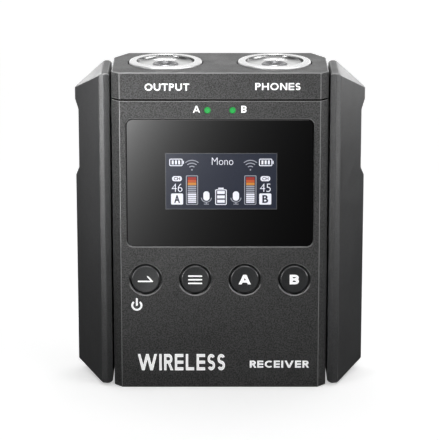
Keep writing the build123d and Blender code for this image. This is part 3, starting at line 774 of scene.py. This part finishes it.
def small_battery(side, white):
    """A lying battery with three cells and its pole to the right."""
    x = from_middle(side, SMALL_BATTERY_OUT) - 0.1
    z = SCREEN_LOW + 12.45
    body_x = span(x, 3.4)
    white.frame(body_x, span(z, 1.95), OUTLINE, 0.35)
    white.bar((body_x[1] + 0.08, body_x[1] + 0.32), span(z, 0.8))
    for cell in (-1, 0, 1):
        white.bar(span(x + cell * 0.82, 0.5), span(z, 1.05))


def signal_arcs(side, grey):
    """Three arcs over a dot, above a level meter."""
    centre = (from_middle(side, METER_OUT), SCREEN_LOW + 10.5)
    for radius in (0.95, 1.75, 2.5):
        grey.arc(centre, radius, 0.24, 48, 132)
    grey.disc(centre, 0.2)


def microphone(side, white, grey):
    """A capsule in a cradle, on a stem and a foot."""
    x = from_middle(side, MICROPHONE_OUT)
    foot = SCREEN_LOW + 1.3
    white.bar(span(x, 1.6), (foot + 1.0, foot + 3.5), 0.78)
    grey.arc((x, foot + 1.9), 1.3, OUTLINE, 185, 355)
    grey.bar(span(x, 0.24), (foot + 0.15, foot + 0.65))
    grey.bar(span(x, 1.3), (foot, foot + 0.2))


def cell_battery(white):
    """A standing battery with three cells and its pole on top."""
    x = SCREEN_MID - 0.05
    low, high = SCREEN_LOW + 1.2, SCREEN_LOW + 5.3
    white.frame(span(x, 2.95), (low, high), OUTLINE, 0.3)
    white.bar(span(x, 1.4), (high + 0.12, high + 0.45), 0.1)
    for row in range(3):
        bottom = low + 0.55 + row * 1.17
        white.bar(span(x, 1.95), (bottom, bottom + 0.8))


# ---------------------------------------------------------------- status lights


def status_lights():
    """Each lens glows from inside, brightest in the middle."""
    for letter in "ab":
        node = f"light_pipe_{letter}"
        shader = Shader(f"lens_{letter}", LENS_GREEN, 0.22)
        hub = middle(node)
        mapping = shader.node("ShaderNodeMapping")
        mapping.inputs["Location"].default_value = (-hub.x / MM, 0, -hub.z / MM)
        mapping.inputs["Scale"].default_value = (1 / MM, 0, 1 / MM)
        shader.link(shader.place, mapping.inputs["Vector"])
        ball = shader.node("ShaderNodeTexGradient", gradient_type="SPHERICAL")
        shader.link(mapping.outputs["Vector"], ball.inputs["Vector"])
        edge, ring, core = (0.002, 0.05, 0.012), (0.006, 0.24, 0.04), (0.02, 0.4, 0.09)
        glow = shader.ramp(ball.outputs["Fac"], (0.0, edge), (0.4, ring), (1.0, core))
        shader.link(glow, shader.surface.inputs["Emission Color"])
        shader.surface.inputs["Emission Strength"].default_value = 0.6
        frame["nodes"][node].data.materials[0] = shader.material


# ---------------------------------------------------------------- black band in the seam under the top cap: painted shade

# How far the case's chamfers reach along X and Y, the seam's height, how far the black band's outer and
# inner faces lie inside the case's outline, and how far it reaches up into the cap
FRONT_CORNER = (2.05 * MM, 2.2 * MM)
BACK_CORNER = (3.6 * MM, 6.2 * MM)
SEAM_GAP = 0.4 * MM
SHADE_BAND_INSET = (0.03 * MM, 0.9 * MM)
SHADE_BAND_LIP = 0.08 * MM


def shade_band_loop(inset):
    """The case's outline at the seam, moved inwards."""
    low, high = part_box("front_shell")
    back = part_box("rear_shell")[1].y - inset
    front = low.y + inset
    side = high.x - inset
    (fx, fy), (bx, by) = FRONT_CORNER, BACK_CORNER
    right = [(side - fx, front), (side, front + fy), (side, back - by), (side - bx, back)]
    return right + [(-x, y) for x, y in reversed(right)]


def seam_painted_shade():
    """A near-black band in the gap between the case and its top cap: painted shade that darkens the seam."""
    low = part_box("front_shell")[1].z
    high = low + SEAM_GAP + SHADE_BAND_LIP
    loops = [shade_band_loop(inset) for inset in SHADE_BAND_INSET]
    count = len(loops[0])
    vertices = [(x, y, z) for z in (low, high) for loop in loops for x, y in loop]
    low_out, low_in, high_out, high_in = range(0, 4 * count, count)
    faces = []
    for i in range(count):
        j = (i + 1) % count
        for a, b in ((low_out, high_out), (high_out, high_in), (high_in, low_in), (low_in, low_out)):
            faces.append((a + i, a + j, b + j, b + i))
    mesh = bpy.data.meshes.new("seam_painted_shade")
    mesh.from_pydata(vertices, [], faces)
    # Near black and barely glossy: painted shade in the seam
    shade_black = moulded(
        "seam_shade_black",
        dark=(0.001, 0.001, 0.001),
        light=(0.003, 0.003, 0.003),
        grain=3000.0,
        bump=0.2,
        rough=(0.7, 0.9),
        Specular_IOR_Level=0.1,
    )
    mesh.materials.append(shade_black)
    shade_band = bpy.data.objects.new("seam_painted_shade", mesh)
    bpy.context.scene.collection.objects.link(shade_band)
    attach(shade_band, "case")


# ---------------------------------------------------------------- stage, lights and camera

# The camera stands this far in front of the case and this high, looks down by its pitch in degrees, and
# has a long lens on a 36 mm sensor
CAMERA_GAP = 606.5 * MM
CAMERA_HEIGHT = 208.6 * MM
CAMERA_PITCH = 15.05
CAMERA_LENS = 199.2
CAMERA_SENSOR = 36.0


def camera():
    data = bpy.data.cameras.new("camera")
    data.lens = CAMERA_LENS
    data.sensor_width = CAMERA_SENSOR
    data.clip_start, data.clip_end = 0.01, 20.0
    holder = bpy.data.objects.new("camera", data)
    holder.location = (0, FRONT - CAMERA_GAP, CAMERA_HEIGHT)
    holder.rotation_euler = (math.radians(90 - CAMERA_PITCH), 0, 0)
    bpy.context.scene.collection.objects.link(holder)
    bpy.context.scene.camera = holder


def softbox(name, place, aim, size, watts, spread, rays):
    """A soft rectangular light that reaches diffuse surfaces, glossy ones or both."""
    data = bpy.data.lights.new(name, "AREA")
    data.shape = "RECTANGLE"
    data.size, data.size_y = size
    data.energy = watts
    data.spread = math.radians(spread)
    light = bpy.data.objects.new(name, data)
    light.location = place
    light.rotation_euler = (Vector(aim) - Vector(place)).to_track_quat("-Z", "Y").to_euler()
    light.visible_camera = False
    light.visible_glossy = rays != "diffuse"
    light.visible_diffuse = rays != "glossy"
    bpy.context.scene.collection.objects.link(light)


def floor():
    """A pale floor just under the object, seen but not mirrored in it."""
    half = 3.0
    mesh = bpy.data.meshes.new("floor")
    corners = [(-half, -half, 0), (half, -half, 0), (half, half, 0), (-half, half, 0)]
    mesh.from_pydata(corners, [], [(0, 1, 2, 3)])
    plane = bpy.data.objects.new("floor", mesh)
    shader = Shader("floor", (0.9, 0.9, 0.9), 0.9)
    shader.glow((1, 1, 1), 0.45)
    mesh.materials.append(shader.material)
    plane.location.z = -0.02 * MM
    plane.visible_glossy = False
    plane.visible_diffuse = False
    bpy.context.scene.collection.objects.link(plane)


def surroundings():
    """A soft room: white behind the object down to the horizon, darker in front and below.

    The camera itself sees plain white past the floor.
    """
    world = bpy.data.worlds.new("studio")
    bpy.context.scene.world = world
    world.use_nodes = True
    tree = world.node_tree
    place = tree.nodes.new("ShaderNodeTexCoord")
    split = tree.nodes.new("ShaderNodeSeparateXYZ")
    tree.links.new(place.outputs["Generated"], split.inputs[0])

    def ramp(output, *stops):
        """Brightness along one axis of the direction, whose size there runs from -1 to 1."""
        shift = tree.nodes.new("ShaderNodeMath")
        shift.operation = "MULTIPLY_ADD"
        shift.inputs[1].default_value = 0.5
        shift.inputs[2].default_value = 0.5
        made = tree.nodes.new("ShaderNodeValToRGB")
        for element, (at, value) in zip(made.color_ramp.elements, stops):
            element.position = at / 2 + 0.5
            element.color = (value, value, value, 1)
        tree.links.new(split.outputs[output], shift.inputs[0])
        tree.links.new(shift.outputs[0], made.inputs["Fac"])
        return made.outputs["Color"]

    def mixed(factor, first):
        made = tree.nodes.new("ShaderNodeMix")
        made.data_type = "RGBA"
        tree.links.new(factor, made.inputs[0])
        tree.links.new(first, made.inputs[6])
        return made

    front = ramp("Z", (0.1, 0.01), (0.95, 0.5))
    room = mixed(ramp("Y", (-0.1, 0.0), (0.5, 1.0)), front)
    tree.links.new(ramp("Z", (-0.22, 0.02), (0.02, 0.9)), room.inputs[7])
    seen = mixed(tree.nodes.new("ShaderNodeLightPath").outputs["Is Camera Ray"], room.outputs[2])
    seen.inputs[7].default_value = (1, 1, 1, 1)
    tree.links.new(seen.outputs[2], tree.nodes["Background"].inputs["Color"])
    tree.nodes["Background"].inputs["Strength"].default_value = 1.0


# The card's brightness is e to the power of its level plus this much per metre along X, Y and Z
CARD_FALLOFF = (-56.0, -6.5, 0)
CARD_LEVEL = -2.36


def reflection_card():
    """A graded card on the floor in front, seen only in reflections: it lights the window's upper left."""
    near, far, half_w = -0.06, -0.42, 0.048
    mesh = bpy.data.meshes.new("reflection_card")
    corners = [(-half_w, far, 0), (half_w, far, 0), (half_w, near, 0), (-half_w, near, 0)]
    mesh.from_pydata(corners, [], [(0, 1, 2, 3)])
    card = bpy.data.objects.new("reflection_card", mesh)
    shader = Shader("reflection_card", (0, 0, 0), 1.0)
    slope = shader.node("ShaderNodeVectorMath", operation="DOT_PRODUCT")
    slope.inputs[1].default_value = CARD_FALLOFF
    lift = shader.node("ShaderNodeMath", operation="ADD")
    lift.inputs[1].default_value = CARD_LEVEL
    power = shader.node("ShaderNodeMath", operation="EXPONENT")
    shader.link(shader.place, slope.inputs[0])
    shader.link(slope.outputs["Value"], lift.inputs[0])
    shader.link(lift.outputs[0], power.inputs[0])
    shader.link(power.outputs[0], shader.surface.inputs["Emission Strength"])
    shader.surface.inputs["Emission Color"].default_value = (1, 1, 1, 1)
    mesh.materials.append(shader.material)
    for ray in ("camera", "diffuse", "shadow", "transmission"):
        setattr(card, f"visible_{ray}", False)
    bpy.context.scene.collection.objects.link(card)


UPPER_FRONT = (0.0, -0.013, 0.085)
CENTRE = (0.0, 0.0, 0.05)

# Each light's place, the point it aims at, its two sizes, watts, spread in degrees and what it reaches
LIGHTS = {
    "top": ((0.0, 0.0, 0.4), CENTRE, (0.3, 0.3), 0.078, 180, "diffuse"),
    "overhead": ((0.0, -0.1, 0.42), UPPER_FRONT, (0.34, 0.06), 0.7, 180, "glossy"),
    "wall_right": ((0.3, -0.12, 0.1), UPPER_FRONT, (0.25, 0.14), 0.07, 55, "both"),
    "strip_left": ((-0.2, -0.22, 0.055), UPPER_FRONT, (0.08, 0.12), 0.05, 60, "both"),
    "strip_right": ((0.2, -0.22, 0.055), UPPER_FRONT, (0.08, 0.12), 0.024, 60, "both"),
    "front_card": ((0.0, -0.5, 0.36), CENTRE, (0.9, 0.5), 1.1, 180, "glossy"),
    "back_low": ((0.2, 0.6, 0.03), CENTRE, (1.0, 0.16), 1.25, 180, "glossy"),
    "near_left": ((-0.075, -0.09, 0.095), (-0.022, -0.013, 0.083), (0.04, 0.02), 0.022, 70, "diffuse"),
    "near_right": ((0.05, -0.08, 0.135), (0.01, -0.013, 0.085), (0.05, 0.03), 0.006, 100, "diffuse"),
}


bpy.context.scene.view_settings.view_transform = "Standard"
dress_nodes()
status_lights()
seam_painted_shade()
case_print()
key_prints()
screen_layers()
camera()
floor()
surroundings()
reflection_card()
for name, settings in LIGHTS.items():
    softbox(name, *settings)
